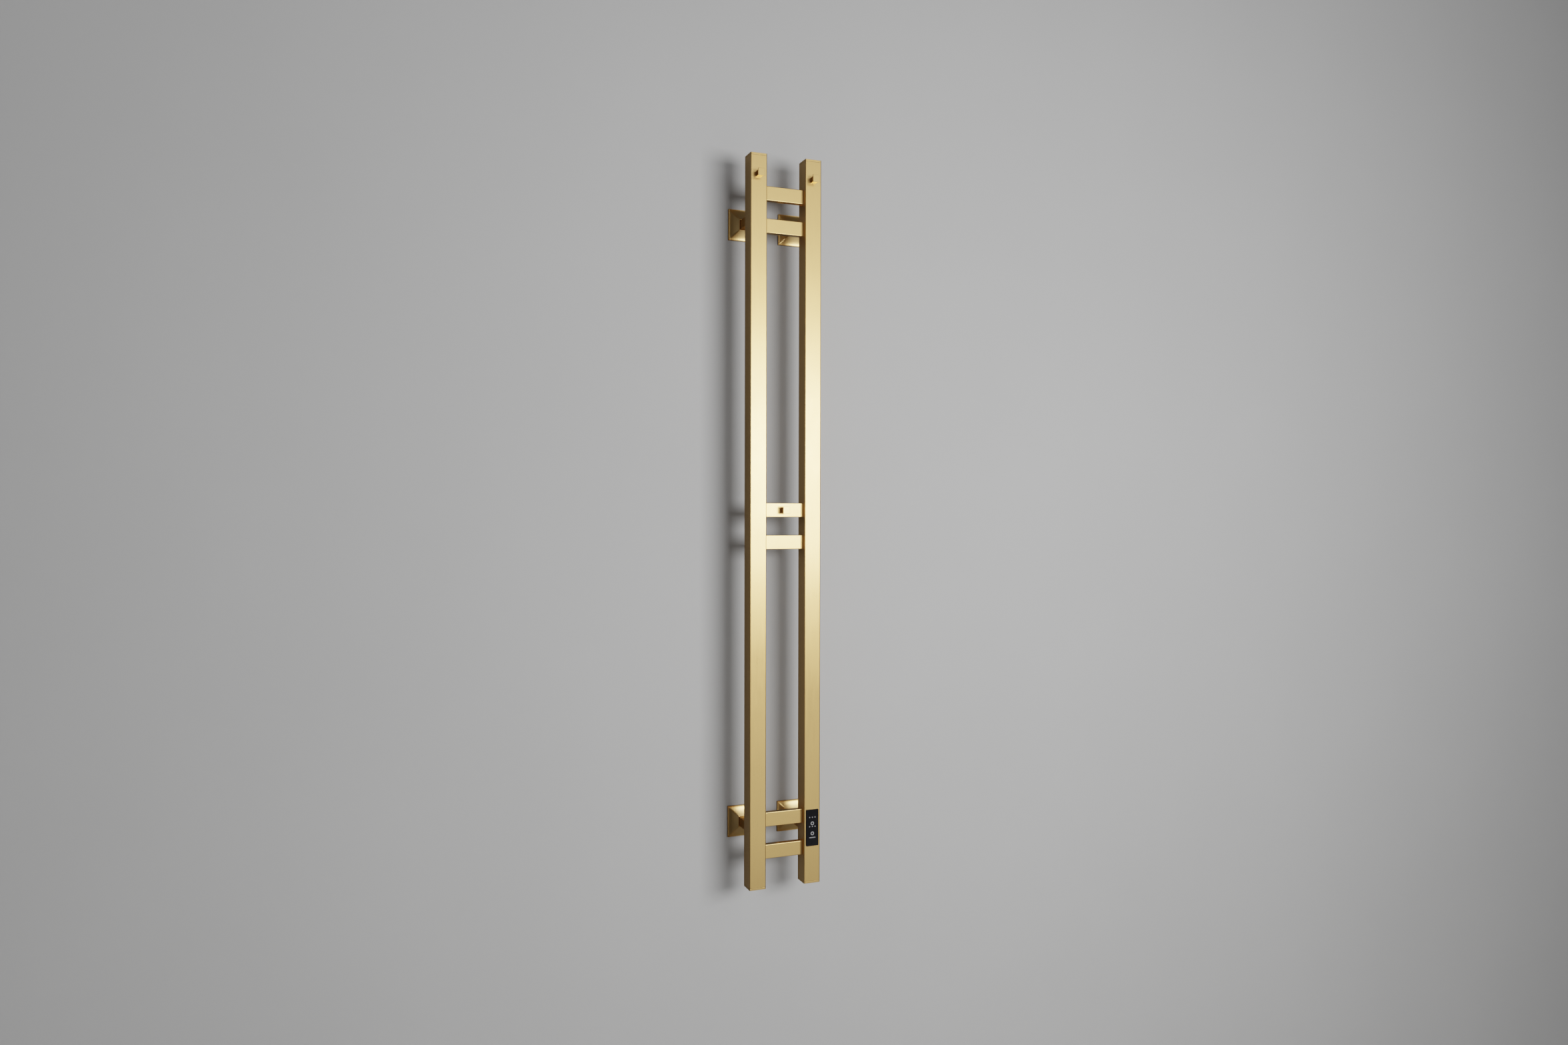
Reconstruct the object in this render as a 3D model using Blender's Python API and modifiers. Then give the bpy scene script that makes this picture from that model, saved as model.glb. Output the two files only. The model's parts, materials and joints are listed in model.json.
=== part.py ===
"""Wall-hung electric towel warmer rack: two square rails, six flat rungs, three hooks.

Frame: +X to the right, +Y towards the wall, +Z up. The origin lies on the wall plane,
midway between the rails and at half their height. Lengths are in metres.
"""

import math

import bmesh
import bpy
from mathutils import Vector

MM = 0.001

# Driving dimensions: frame
RACK_HEIGHT = 1200 * MM
RAIL_WIDTH = 28.5 * MM
RAIL_DEPTH = 28.5 * MM
RAIL_SPACING = 96 * MM
RAIL_WALL = 1.5 * MM
RAIL_EDGE = 1.4 * MM
WALL_GAP = 59 * MM
CAP_THICKNESS = 3 * MM
CAP_PLUG = 8 * MM

RUNG_HEIGHT = 23.5 * MM
RUNG_DEPTH = 10 * MM
RUNG_WALL = 1.2 * MM
RUNG_EDGE = 0.9 * MM
RUNG_RECESS = 9 * MM
RUNG_PITCH = 53 * MM
RUNG_PAIR_HEIGHTS = (512.5 * MM, -6 * MM, -515.5 * MM)

# Driving dimensions: hooks
HOOK_REACH = 13 * MM
HOOK_HEAD = 12 * MM
HOOK_HEAD_EDGE = 1.3 * MM
HOOK_PEG = 9 * MM
HOOK_FLARE_RADIUS = 4 * MM
HOOK_ROUNDING = 0.3 * MM
HOOK_HEIGHT = 565.7 * MM
STUD_RADIUS = 1.6 * MM
STUD_HOLE = 1.9 * MM
STUD_INSERT = 7 * MM
STUD_FLANGE_RADIUS = 3.2 * MM
STUD_FLANGE = 1.2 * MM

# Driving dimensions: wall brackets
POST_SIZE = 15 * MM
POST_EDGE = 0.6 * MM
POST_WALL = 2.5 * MM
POST_FLOOR = 3 * MM
POST_SPACING = 90 * MM
POST_HEIGHTS = {"top": 502 * MM, "bottom": -508 * MM}
POST_SCREW_RADIUS = 2.4 * MM
POST_SCREW_HOLE = 2.7 * MM
SCREW_REACH = 4 * MM
GRUB_RADIUS = 1.8 * MM
GRUB_HOLE = 2.1 * MM
GRUB_SETBACK = 6.6 * MM

ANCHOR_SIZE = 36 * MM
ANCHOR_THICKNESS = 2.5 * MM
SPIGOT_RADIUS = 4.7 * MM
SPIGOT_END = 30 * MM
SPIGOT_BORE = 3.2 * MM
WALL_SCREW_OFFSET = 12 * MM
WALL_SCREW_RADIUS = 2.2 * MM
WALL_SCREW_SINK = 4.2 * MM

COVER_SIZE = 52.5 * MM
COVER_PLATE = 3 * MM
COVER_MARGIN = 3 * MM
COVER_TOP = 18 * MM
COVER_HEIGHT = 10 * MM
COVER_SKIN = 1.4 * MM
COVER_EDGE = 0.35 * MM
COVER_EDGE_ANGLE = math.radians(50)

WIRED_POST = ("right", "bottom")
NIPPLE_RADIUS = 3.9 * MM
NIPPLE_HOLE = 4.2 * MM
NIPPLE_BORE = 2.6 * MM
GROMMET_LENGTH = 12 * MM
GROMMET_WALL = 0.7 * MM
GROMMET_SETBACK = 0.5 * MM

# Driving dimensions: control
PANEL_WIDTH = 22.2 * MM
PANEL_HEIGHT = 61 * MM
PANEL_THICKNESS = 1.1 * MM
PANEL_CORNER = 1.6 * MM
PANEL_CENTRE = -507.4 * MM
WINDOW_WIDTH = 19 * MM
WINDOW_HEIGHT = 56 * MM
HOUSING_DEPTH = 13 * MM
HOUSING_WALL = 1.2 * MM
WIRE_HOLE = (6 * MM, 5 * MM)
WIRE_HOLE_OFFSET = 20 * MM
BOARD_SETBACK = 3.6 * MM
BOARD_THICKNESS = 1.6 * MM
KEY_OFFSETS = {"timer": 7 * MM, "power": -10 * MM}
LED_OFFSETS = {"upper": 18 * MM, "lower": 2 * MM}
LED_STRIP = (12 * MM, 1.6 * MM)
LIGHT_GUIDE_OFFSET = -16.8 * MM
LIGHT_GUIDE = (12.5 * MM, 2 * MM)
SPRING_RADIUS = 2.4 * MM
SPRING_WIRE = 0.25 * MM
SPRING_TURNS = 3
RELAY_SIZE = (10 * MM, 5.5 * MM, 15 * MM)
RELAY_OFFSET = -12 * MM

# Driving dimensions: heating
CABLE_RADIUS = 2 * MM
CABLE_HOLE = 3 * MM
CABLE_BEND = 12 * MM
CABLE_ENTRY = 7 * MM
CABLE_SETBACK = 1.5 * MM
CABLE_RETURN_OFFSET = 4 * MM
BLOCK_SIZE = (14 * MM, 12 * MM, 30 * MM)
BLOCK_HEIGHT = -450 * MM
BLOCK_SETFORWARD = 1 * MM
BLOCK_WELL_OFFSET = 4 * MM
BLOCK_WELL_RADIUS = 1.7 * MM
BLOCK_WELL_DEPTH = 4 * MM
CUTOUT_RADIUS = 3 * MM
CUTOUT_LENGTH = 15 * MM
CUTOUT_HEIGHT = -395 * MM
PROBE_RADIUS = 2 * MM
PROBE_LENGTH = 12 * MM
PROBE_HEIGHT = -400 * MM
PROBE_OFFSET = 7 * MM
EARTH_STUD_HEIGHT = -415 * MM
EARTH_STUD_OFFSET = -6 * MM

GAP = 0.3 * MM
ROUND_STEPS = 24
PASS_THROUGH = 5 * MM

# Places worked out from the dimensions
RAIL_BACK = -WALL_GAP
RAIL_FRONT = RAIL_BACK - RAIL_DEPTH
RAIL_MIDDLE = RAIL_BACK - RAIL_DEPTH / 2
RUNG_FRONT = RAIL_FRONT + RUNG_RECESS
RUNG_MIDDLE = RUNG_FRONT + RUNG_DEPTH / 2
POST_END = -(ANCHOR_THICKNESS + GAP)
POST_BASE = RAIL_BACK + GAP
SIDES = {"left": -1, "right": 1}
RUNG_HEIGHTS = [pair + offset for pair in RUNG_PAIR_HEIGHTS
                for offset in (RUNG_PITCH / 2, -RUNG_PITCH / 2)]
PANEL_X = RAIL_SPACING / 2
BOARD_FRONT = RAIL_FRONT + BOARD_SETBACK
BOARD_BACK = BOARD_FRONT + BOARD_THICKNESS
CABLE_PLANE = RUNG_MIDDLE + CABLE_SETBACK
CABLE_RETURN_X = PANEL_X + CABLE_RETURN_OFFSET

FORWARD = Vector((0, -1, 0))
BACKWARD = Vector((0, 1, 0))
UP = Vector((0, 0, 1))
ALONG_X = Vector((1, 0, 0))


def start_scene():
    """Empty the scene and make one collection for parts and one for cutters."""
    for obj in list(bpy.data.objects):
        bpy.data.objects.remove(obj, do_unlink=True)
    made = []
    for name in ("towel_warmer_rack", "cutters"):
        collection = bpy.data.collections.new(name)
        bpy.context.scene.collection.children.link(collection)
        made.append(collection)
    return made


PARTS, CUTTERS = start_scene()


def make_material(name, color, roughness, metallic):
    material = bpy.data.materials.new(name)
    material.use_nodes = True
    shader = material.node_tree.nodes["Principled BSDF"]
    shader.inputs["Base Color"].default_value = (*color, 1)
    shader.inputs["Roughness"].default_value = roughness
    shader.inputs["Metallic"].default_value = metallic
    return material


FINISHES = {
    "brushed_gold": ((0.66, 0.50, 0.25), 0.32, 1.0),
    "steel": ((0.55, 0.55, 0.56), 0.35, 1.0),
    "zinc": ((0.42, 0.43, 0.45), 0.5, 1.0),
    "copper_plated": ((0.62, 0.36, 0.20), 0.35, 1.0),
    "black_glass": ((0.01, 0.01, 0.012), 0.08, 0.0),
    "dark_plastic": ((0.03, 0.03, 0.032), 0.5, 0.0),
    "board_green": ((0.02, 0.16, 0.07), 0.45, 0.0),
    "clear_plastic": ((0.80, 0.82, 0.84), 0.25, 0.0),
    "white_plastic": ((0.78, 0.77, 0.73), 0.45, 0.0),
    "relay_blue": ((0.05, 0.12, 0.32), 0.4, 0.0),
    "silicone_red": ((0.35, 0.05, 0.03), 0.6, 0.0),
    "black_rubber": ((0.02, 0.02, 0.02), 0.75, 0.0),
}


def finish_object(obj, finish):
    """Give an object its own material and put it with the parts."""
    color, roughness, metallic = FINISHES[finish]
    obj.data.materials.append(make_material(obj.name + "_" + finish, color, roughness, metallic))
    PARTS.objects.link(obj)
    return obj


def finish_cutter(obj):
    obj.hide_render = True
    obj.display_type = "WIRE"
    CUTTERS.objects.link(obj)
    return obj


def box_mesh(name, size, weighted_axis=None):
    """A box about the origin, with bevel weights on the edges along one axis."""
    bm = bmesh.new()
    bmesh.ops.create_cube(bm, size=1)
    bmesh.ops.scale(bm, vec=size, verts=bm.verts)
    if weighted_axis is not None:
        weight = bm.edges.layers.float.new("bevel_weight_edge")
        for edge in bm.edges:
            along = edge.verts[1].co - edge.verts[0].co
            if abs(along[weighted_axis]) > along.length / 2:
                edge[weight] = 1
    mesh = bpy.data.meshes.new(name)
    bm.to_mesh(mesh)
    bm.free()
    return mesh


def cylinder_mesh(name, radius, length, direction, end_radius=None):
    """A cylinder or cone about the origin, from radius to end_radius along direction."""
    bm = bmesh.new()
    bmesh.ops.create_cone(
        bm, cap_ends=True, segments=ROUND_STEPS, radius1=radius,
        radius2=radius if end_radius is None else end_radius, depth=length)
    turn = UP.rotation_difference(Vector(direction)).to_matrix()
    bmesh.ops.rotate(bm, cent=(0, 0, 0), matrix=turn, verts=bm.verts)
    mesh = bpy.data.meshes.new(name)
    bm.to_mesh(mesh)
    bm.free()
    return mesh


def place(name, mesh, centre):
    obj = bpy.data.objects.new(name, mesh)
    obj.location = centre
    return obj


def add_bevel(obj, width, segments=2, weighted=False, angle=math.radians(30)):
    """Round the edges with a bevel weight, or those sharper than the angle."""
    bevel = obj.modifiers.new("rounded_edges", "BEVEL")
    bevel.width = width
    bevel.segments = segments
    bevel.limit_method = "WEIGHT" if weighted else "ANGLE"
    bevel.angle_limit = angle
    return obj


def cut(obj, cutter, operation="DIFFERENCE"):
    boolean = obj.modifiers.new(operation.lower() + "_" + cutter.name, "BOOLEAN")
    boolean.operation = operation
    boolean.solver = "EXACT"
    boolean.object = cutter
    return obj


def box_cutter(name, size, centre):
    return finish_cutter(place(name, box_mesh(name, size), centre))


def round_cutter(name, radius, length, centre, direction, end_radius=None):
    mesh = cylinder_mesh(name, radius, length, direction, end_radius)
    return finish_cutter(place(name, mesh, centre))


def turned(name, profile, origin, direction, finish, closed=False, sides=ROUND_STEPS):
    """A turned piece: (radius, height) points down its outer side, top to bottom.

    With few sides it is a prism, whose flats are as far from the axis as the radius says.
    """
    half_side = math.pi / sides if sides < ROUND_STEPS else 0
    to_corner = 1 / math.cos(half_side)
    bm = bmesh.new()
    points = [bm.verts.new((radius * to_corner * math.cos(half_side),
                            radius * to_corner * math.sin(half_side), height))
              for radius, height in profile]
    for first, second in zip(points, points[1:]):
        bm.edges.new((first, second))
    if closed:
        bm.edges.new((points[-1], points[0]))
    mesh = bpy.data.meshes.new(name)
    bm.to_mesh(mesh)
    bm.free()
    obj = place(name, mesh, origin)
    obj.rotation_euler = UP.rotation_difference(Vector(direction)).to_euler()
    screw = obj.modifiers.new("turn", "SCREW")
    screw.steps = screw.render_steps = sides
    screw.use_merge_vertices = True
    screw.merge_threshold = 1e-6
    return finish_object(obj, finish)


# Frame ---------------------------------------------------------------------------------


def rail_cavity(side):
    size = (RAIL_WIDTH - 2 * RAIL_WALL, RAIL_DEPTH - 2 * RAIL_WALL, RACK_HEIGHT + PASS_THROUGH)
    return box_cutter(side + "_rail_cavity", size, (SIDES[side] * RAIL_SPACING / 2, RAIL_MIDDLE, 0))


def make_rail(side):
    """A square tube with holes for its hook stud, its posts and the heating cable."""
    x = SIDES[side] * RAIL_SPACING / 2
    post_x = SIDES[side] * POST_SPACING / 2
    length = RACK_HEIGHT - 2 * (CAP_THICKNESS + GAP)
    name = side + "_rail"
    rail = place(name, box_mesh(name, (RAIL_WIDTH, RAIL_DEPTH, length), 2), (x, RAIL_MIDDLE, 0))
    finish_object(rail, "brushed_gold")
    add_bevel(rail, RAIL_EDGE, segments=4, weighted=True)
    cut(rail, rail_cavity(side))
    cut(rail, round_cutter(name + "_hook_hole", STUD_HOLE, PASS_THROUGH,
                           (x, RAIL_FRONT, HOOK_HEIGHT), FORWARD))
    for level, z in POST_HEIGHTS.items():
        wired = (side, level) == WIRED_POST
        radius = NIPPLE_HOLE if wired else POST_SCREW_HOLE
        cut(rail, round_cutter(f"{name}_{level}_post_hole", radius, PASS_THROUGH,
                               (post_x, RAIL_BACK, z), FORWARD))
    inner_face = x - SIDES[side] * RAIL_WIDTH / 2
    for z in (RUNG_HEIGHTS[0], RUNG_HEIGHTS[-1]):
        level = "top" if z > 0 else "bottom"
        cut(rail, round_cutter(f"{name}_{level}_cable_hole", CABLE_HOLE, PASS_THROUGH,
                               (inner_face, CABLE_PLANE, z), ALONG_X))
    return rail


def make_rung(number, z):
    """A flat tube, open at both ends, between the rails' inner faces."""
    length = RAIL_SPACING - RAIL_WIDTH - 2 * GAP
    name = f"rung_{number}"
    rung = place(name, box_mesh(name, (length, RUNG_DEPTH, RUNG_HEIGHT), 0), (0, RUNG_MIDDLE, z))
    finish_object(rung, "brushed_gold")
    add_bevel(rung, RUNG_EDGE, segments=3, weighted=True)
    cavity = (RAIL_SPACING, RUNG_DEPTH - 2 * RUNG_WALL, RUNG_HEIGHT - 2 * RUNG_WALL)
    cut(rung, box_cutter(name + "_cavity", cavity, (0, RUNG_MIDDLE, z)))
    return rung


def make_end_cap(side, level):
    """A flat cap with a plug that fills the mouth of its rail."""
    up = 1 if level == "top" else -1
    x = SIDES[side] * RAIL_SPACING / 2
    name = f"{side}_{level}_cap"
    plate_z = up * (RACK_HEIGHT / 2 - CAP_THICKNESS / 2)
    cap = place(name, box_mesh(name, (RAIL_WIDTH, RAIL_DEPTH, CAP_THICKNESS), 2),
                (x, RAIL_MIDDLE, plate_z))
    finish_object(cap, "brushed_gold")
    add_bevel(cap, RAIL_EDGE, segments=4, weighted=True)
    clearance = 2 * (RAIL_WALL + GAP)
    plug_size = (RAIL_WIDTH - clearance, RAIL_DEPTH - clearance, CAP_PLUG)
    plug_z = plate_z - up * CAP_PLUG / 2
    plug = box_cutter(name + "_plug", plug_size, (x, RAIL_MIDDLE, plug_z))
    return cut(cap, plug, "UNION")


# Hooks ---------------------------------------------------------------------------------


def make_hook(name, x, base, z):
    """A square peg that flares forward into its head, with a socket for its stud."""
    head = HOOK_HEAD / 2
    peg = HOOK_PEG / 2
    flare_angle = math.acos(1 - (head - peg) / HOOK_FLARE_RADIUS)
    flare_back = HOOK_REACH - HOOK_HEAD_EDGE - HOOK_FLARE_RADIUS * math.sin(flare_angle)
    steps = 5
    angles = [flare_angle * (steps - step) / steps for step in range(steps + 1)]
    flare = [(peg + HOOK_FLARE_RADIUS * (1 - math.cos(angle)),
              flare_back + HOOK_FLARE_RADIUS * math.sin(angle)) for angle in angles]
    profile = [(0, HOOK_REACH), (head, HOOK_REACH), *flare, (peg, GAP), (0, GAP)]
    hook = turned(name, profile, (x, base, z), FORWARD, "brushed_gold", sides=4)
    add_bevel(hook, HOOK_ROUNDING, angle=math.radians(60))
    socket_depth = STUD_INSERT + 2 * GAP
    socket = round_cutter(name + "_socket", STUD_HOLE, 2 * socket_depth, (x, base - GAP, z), FORWARD)
    return cut(hook, socket)


def make_hook_stud(name, x, base, z, wall):
    """A stud clinched in the tube wall: its flange lies against the inside of the wall."""
    tip = wall + 2 * GAP + STUD_INSERT
    chamfer = 0.4 * MM
    profile = [(0, tip), (STUD_RADIUS - chamfer, tip), (STUD_RADIUS, tip - chamfer),
               (STUD_RADIUS, 0), (STUD_FLANGE_RADIUS, 0), (STUD_FLANGE_RADIUS, -STUD_FLANGE),
               (0, -STUD_FLANGE)]
    inside = (x, base + wall + GAP, z)
    return turned(name, profile, inside, FORWARD, "steel")


def make_hooks():
    """One hook near the top of each rail, and one on the third rung."""
    for side, sign in SIDES.items():
        x = sign * RAIL_SPACING / 2
        make_hook(side + "_hook", x, RAIL_FRONT, HOOK_HEIGHT)
        make_hook_stud(side + "_hook_stud", x, RAIL_FRONT, HOOK_HEIGHT, RAIL_WALL)
    make_hook("middle_hook", 0, RUNG_FRONT, RUNG_HEIGHTS[2])
    make_hook_stud("middle_hook_stud", 0, RUNG_FRONT, RUNG_HEIGHTS[2], RUNG_WALL)


# Wall brackets -------------------------------------------------------------------------


def make_anchor(name, x, z):
    """The plate screwed to the wall, with the hollow spigot that the post slides over.

    Each countersink is a right-angled cone centred on the plate's front face.
    """
    plate = box_mesh(name, (ANCHOR_SIZE, ANCHOR_THICKNESS, ANCHOR_SIZE))
    anchor = place(name, plate, (x, -ANCHOR_THICKNESS / 2, z))
    finish_object(anchor, "zinc")
    middle = ANCHOR_THICKNESS / 2
    spigot_length = SPIGOT_END - middle
    cut(anchor, round_cutter(name + "_spigot", SPIGOT_RADIUS, spigot_length,
                             (x, -middle - spigot_length / 2, z), FORWARD), "UNION")
    cut(anchor, round_cutter(name + "_bore", SPIGOT_BORE, 2 * SPIGOT_END + PASS_THROUGH,
                             (x, 0, z), FORWARD))
    for side, sign in SIDES.items():
        screw_x = x + sign * WALL_SCREW_OFFSET
        cut(anchor, round_cutter(f"{name}_{side}_screw_hole", WALL_SCREW_RADIUS, PASS_THROUGH * 2,
                                 (screw_x, 0, z), FORWARD))
        half_cone = WALL_SCREW_SINK - WALL_SCREW_RADIUS + GAP
        cut(anchor, round_cutter(f"{name}_{side}_countersink", WALL_SCREW_SINK - half_cone,
                                 2 * half_cone, (screw_x, -ANCHOR_THICKNESS, z), FORWARD,
                                 WALL_SCREW_SINK + half_cone))
    return anchor


def make_post(name, x, z, floor_hole):
    """A square tube from rail to anchor, with a drilled floor at the rail."""
    length = POST_END - POST_BASE
    post = place(name, box_mesh(name, (POST_SIZE, length, POST_SIZE), 1),
                 (x, (POST_END + POST_BASE) / 2, z))
    finish_object(post, "brushed_gold")
    add_bevel(post, POST_EDGE, segments=3, weighted=True)
    inner = POST_SIZE - 2 * POST_WALL
    cavity_length = length - POST_FLOOR + PASS_THROUGH
    cavity_y = POST_BASE + POST_FLOOR + cavity_length / 2
    cut(post, box_cutter(name + "_cavity", (inner, cavity_length, inner), (x, cavity_y, z)))
    cut(post, round_cutter(name + "_floor_hole", floor_hole, 4 * POST_FLOOR, (x, POST_BASE, z),
                           FORWARD))
    cut(post, round_cutter(name + "_grub_hole", GRUB_HOLE, PASS_THROUGH,
                           (x, -GRUB_SETBACK, z - POST_SIZE / 2), UP))
    return post


def make_post_screw(name, x, z):
    """A socket screw: its head is on the post's floor and its thread is in the rail's wall."""
    head_radius = 4.3 * MM
    head = 3 * MM
    socket_radius = 2 * MM
    socket = 1.8 * MM
    chamfer = 0.4 * MM
    tip = -(POST_FLOOR + 2 * GAP + RAIL_WALL + SCREW_REACH)
    profile = [(0, head - socket), (socket_radius, head - socket), (socket_radius, head),
               (head_radius - chamfer, head), (head_radius, head - chamfer), (head_radius, 0),
               (POST_SCREW_RADIUS, 0), (POST_SCREW_RADIUS, tip + chamfer),
               (POST_SCREW_RADIUS - chamfer, tip), (0, tip)]
    origin = (x, POST_BASE + POST_FLOOR + GAP, z)
    return turned(name, profile, origin, BACKWARD, "steel")


def make_lead_nipple(name, x, z):
    """The hollow threaded nipple that holds the wired post and lets the supply lead in."""
    flange_radius = 4.7 * MM
    flange = 1.5 * MM
    tip = -(POST_FLOOR + 2 * GAP + RAIL_WALL + SCREW_REACH)
    profile = [(flange_radius, flange), (flange_radius, 0), (NIPPLE_RADIUS, 0),
               (NIPPLE_RADIUS, tip), (NIPPLE_BORE, tip), (NIPPLE_BORE, flange)]
    origin = (x, POST_BASE + POST_FLOOR + GAP, z)
    return turned(name, profile, origin, BACKWARD, "steel", closed=True)


def make_lead_grommet(name, x, z):
    """The rubber sleeve in the wired anchor's bore, where the supply lead comes in."""
    outer = SPIGOT_BORE - GAP
    inner = outer - GROMMET_WALL
    profile = [(outer, GROMMET_LENGTH), (outer, 0), (inner, 0), (inner, GROMMET_LENGTH)]
    return turned(name, profile, (x, -GROMMET_SETBACK, z), FORWARD, "black_rubber", closed=True)


def make_grub_screw(name, x, z):
    """The set screw in the underside of the post that grips the spigot."""
    top = -(SPIGOT_RADIUS + GAP)
    bottom = -POST_SIZE / 2 + 0.1 * MM
    length = top - bottom
    socket = 1.2 * MM
    socket_radius = 0.9 * MM
    profile = [(0, 0), (GRUB_RADIUS, 0), (GRUB_RADIUS, -length), (socket_radius, -length),
               (socket_radius, -length + socket), (0, -length + socket)]
    return turned(name, profile, (x, -GRUB_SETBACK, z + top), UP, "steel")


def pyramid_mesh(name, base, plate, margin, top, height, start=0.0):
    """A square plate with a low pyramid on it, built along +Z from start."""
    bm = bmesh.new()
    bmesh.ops.create_cube(bm, size=1)
    bmesh.ops.scale(bm, vec=(base, base, plate - start), verts=bm.verts)
    bmesh.ops.translate(bm, vec=(0, 0, (plate + start) / 2), verts=bm.verts)
    face = max(bm.faces, key=lambda f: f.calc_center_median().z)
    bmesh.ops.inset_region(bm, faces=[face], thickness=margin)
    raised = bmesh.ops.extrude_face_region(bm, geom=[face])["geom"]
    bmesh.ops.delete(bm, geom=[face], context="FACES_ONLY")
    verts = [item for item in raised if isinstance(item, bmesh.types.BMVert)]
    shrink = top / (base - 2 * margin)
    bmesh.ops.scale(bm, vec=(shrink, shrink, 1), verts=verts)
    bmesh.ops.translate(bm, vec=(0, 0, height - plate), verts=verts)
    bmesh.ops.recalc_face_normals(bm, faces=bm.faces)
    bmesh.ops.rotate(bm, cent=(0, 0, 0), verts=bm.verts,
                     matrix=UP.rotation_difference(FORWARD).to_matrix())
    mesh = bpy.data.meshes.new(name)
    bm.to_mesh(mesh)
    bm.free()
    return mesh


def make_cover(name, x, z):
    """The rosette that hides the anchor: a thin shell that slides along its post."""
    cover = place(name, pyramid_mesh(name, COVER_SIZE, COVER_PLATE, COVER_MARGIN, COVER_TOP,
                                     COVER_HEIGHT), (x, 0, z))
    finish_object(cover, "brushed_gold")
    add_bevel(cover, COVER_EDGE, segments=1, angle=COVER_EDGE_ANGLE)
    hollow = pyramid_mesh(name + "_hollow", COVER_SIZE - 2 * COVER_SKIN, COVER_PLATE - COVER_SKIN,
                          COVER_MARGIN, COVER_TOP - COVER_SKIN, COVER_HEIGHT - COVER_SKIN,
                          start=-PASS_THROUGH)
    cut(cover, finish_cutter(place(name + "_hollow", hollow, (x, 0, z))))
    hole = POST_SIZE + 2 * GAP
    return cut(cover, box_cutter(name + "_hole", (hole, 4 * COVER_HEIGHT, hole), (x, 0, z)))


def make_brackets():
    for side, sign in SIDES.items():
        for level, z in POST_HEIGHTS.items():
            x = sign * POST_SPACING / 2
            place_name = f"{side}_{level}"
            wired = (side, level) == WIRED_POST
            make_anchor(place_name + "_anchor", x, z)
            make_post(place_name + "_post", x, z, NIPPLE_HOLE if wired else POST_SCREW_HOLE)
            make_grub_screw(place_name + "_grub_screw", x, z)
            make_cover(place_name + "_cover", x, z)
            if wired:
                make_lead_nipple("lead_nipple", x, z)
                make_lead_grommet("lead_grommet", x, z)
            else:
                make_post_screw(place_name + "_post_screw", x, z)


# Control ------------------------------------------------------------------------------


def make_panel_glass():
    """The black touch fascia on the face of the right rail."""
    size = (PANEL_WIDTH, PANEL_THICKNESS, PANEL_HEIGHT)
    centre = (PANEL_X, RAIL_FRONT - GAP - PANEL_THICKNESS / 2, PANEL_CENTRE)
    glass = place("panel_glass", box_mesh("panel_glass", size, 1), centre)
    finish_object(glass, "black_glass")
    return add_bevel(glass, PANEL_CORNER, segments=4, weighted=True)


def make_housing():
    """An open-fronted plastic case that fills the window in the rail."""
    size = (WINDOW_WIDTH - 2 * GAP, HOUSING_DEPTH, WINDOW_HEIGHT - 2 * GAP)
    middle = RAIL_FRONT + HOUSING_DEPTH / 2
    centre = (PANEL_X, middle, PANEL_CENTRE)
    housing = place("control_housing", box_mesh("control_housing", size), centre)
    finish_object(housing, "dark_plastic")
    inner = (size[0] - 2 * HOUSING_WALL, HOUSING_DEPTH, size[2] - 2 * HOUSING_WALL)
    cut(housing, box_cutter("housing_cavity", inner,
                            (PANEL_X, middle - HOUSING_WALL, PANEL_CENTRE)))
    wire_hole = (WIRE_HOLE[0], PASS_THROUGH, WIRE_HOLE[1])
    cut(housing, box_cutter("housing_wire_hole", wire_hole,
                            (PANEL_X, RAIL_FRONT + HOUSING_DEPTH, PANEL_CENTRE + WIRE_HOLE_OFFSET)))
    return housing


def make_window(rail):
    """Open the rail's front wall for the housing."""
    size = (WINDOW_WIDTH, 2 * PASS_THROUGH, WINDOW_HEIGHT)
    return cut(rail, box_cutter("control_window", size, (PANEL_X, RAIL_FRONT, PANEL_CENTRE)))


def make_board():
    """The circuit board, a close fit inside the housing's walls."""
    inner_width = WINDOW_WIDTH - 2 * (2 * GAP + HOUSING_WALL)
    inner_height = WINDOW_HEIGHT - 2 * (2 * GAP + HOUSING_WALL)
    size = (inner_width, BOARD_THICKNESS, inner_height)
    centre = (PANEL_X, (BOARD_FRONT + BOARD_BACK) / 2, PANEL_CENTRE)
    board = place("control_board", box_mesh("control_board", size), centre)
    return finish_object(board, "board_green")


def small_box(name, size, centre, finish, edge=0.2 * MM):
    obj = place(name, box_mesh(name, size), centre)
    finish_object(obj, finish)
    return add_bevel(obj, edge, segments=1)


def make_touch_spring(name, z):
    """The coil that joins a touch key on the glass to the board behind it."""
    steps = 12
    start = BOARD_FRONT - GAP - SPRING_WIRE
    end = RAIL_FRONT + SPRING_WIRE
    curve = bpy.data.curves.new(name, "CURVE")
    curve.dimensions = "3D"
    curve.bevel_depth = SPRING_WIRE
    curve.bevel_resolution = 2
    curve.render_resolution_u = 0
    curve.use_fill_caps = True
    spline = curve.splines.new("POLY")
    count = SPRING_TURNS * steps + 1
    spline.points.add(count - 1)
    for index in range(count):
        angle = 2 * math.pi * index / steps
        y = start + (end - start) * index / (count - 1)
        spline.points[index].co = (SPRING_RADIUS * math.cos(angle), y,
                                   SPRING_RADIUS * math.sin(angle), 1)
    spring = bpy.data.objects.new(name, curve)
    spring.location = (PANEL_X, 0, z)
    return finish_object(spring, "copper_plated")


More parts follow.
